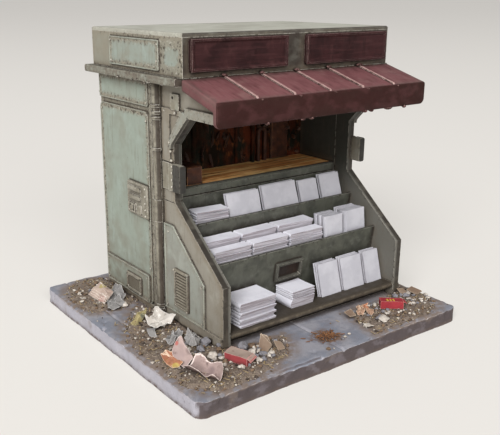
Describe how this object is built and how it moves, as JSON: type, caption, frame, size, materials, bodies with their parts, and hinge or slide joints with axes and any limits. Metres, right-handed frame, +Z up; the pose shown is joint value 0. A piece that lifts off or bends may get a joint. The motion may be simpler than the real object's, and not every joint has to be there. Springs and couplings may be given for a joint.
{
  "type": "street kiosk miniature",
  "caption": "Small painted model of a street newspaper kiosk with an awning, serving counter and stepped paper display on a scenic base plate.",
  "frame": {"origin": "centre of the base plate's underside", "axes": "+Z up, -Y towards the serving front, +X to the right as seen from the front"},
  "size_m": [0.0782, 0.0724, 0.07],
  "materials": {
    "plate_paint": "matt painted paving grey",
    "rubble": "matt earth texture",
    "sheet_litter": "crumpled printed paper",
    "litter_card": "satin painted card",
    "body_paint": "weathered sage paint",
    "roof_paint": "weathered sage paint",
    "trim_paint": "weathered olive paint",
    "awning_paint": "dusty maroon paint",
    "sign_paint": "dark maroon paint",
    "display_paint": "dark olive paint",
    "wood_paint": "wood grain paint",
    "interior_paint": "dark stained paint",
    "box_paint": "red brown paint",
    "bundle_paper": "matt white paper"
  },
  "bodies": {
    "root": {"base_plate": "plate_paint", "rubble_beds": "rubble", "crumpled_papers": "sheet_litter", "litter_boxes": "litter_card", "left_wall": "body_paint", "right_wall": "body_paint", "back_wall": "body_paint", "ceiling": "interior_paint", "header_fascia": "body_paint", "roof_plate": "roof_paint", "left_sign_panel": "sign_paint", "right_sign_panel": "sign_paint", "header_side_plates": "body_paint", "left_drip_rail": "trim_paint", "right_drip_rail": "trim_paint", "awning_canopy": "awning_paint", "awning_ribs": "awning_paint", "left_flank": "trim_paint", "right_flank": "trim_paint", "left_awning_bracket": "body_paint", "right_awning_bracket": "body_paint", "hinge_plates": "trim_paint", "latch_blocks": "trim_paint", "left_door_panel": "body_paint", "right_door_panel": "body_paint", "left_upper_panel": "body_paint", "right_upper_panel": "body_paint", "left_access_panel": "body_paint", "right_access_panel": "body_paint", "left_door_vent": "trim_paint", "right_door_vent": "trim_paint", "left_flank_panel": "body_paint", "right_flank_panel": "body_paint", "left_flank_vent": "trim_paint", "right_flank_vent": "trim_paint", "lock_box": "trim_paint", "left_conduit": "trim_paint", "right_conduit": "trim_paint", "corner_strips": "trim_paint", "counter_rail": "display_paint", "counter_board": "wood_paint", "counter_riser": "display_paint", "back_board": "interior_paint", "interior_pipes": "box_paint", "wall_cabinet": "box_paint", "cash_box": "box_paint", "upper_tier": "display_paint", "middle_tier": "display_paint", "lower_tier": "display_paint", "kick_board": "display_paint", "price_frame": "display_paint", "top_pile": "bundle_paper", "top_display": "bundle_paper", "middle_piles_front": "bundle_paper", "middle_piles_back": "bundle_paper", "middle_display": "bundle_paper", "lower_piles": "bundle_paper", "lower_display": "bundle_paper"}
  },
  "joints": []
}
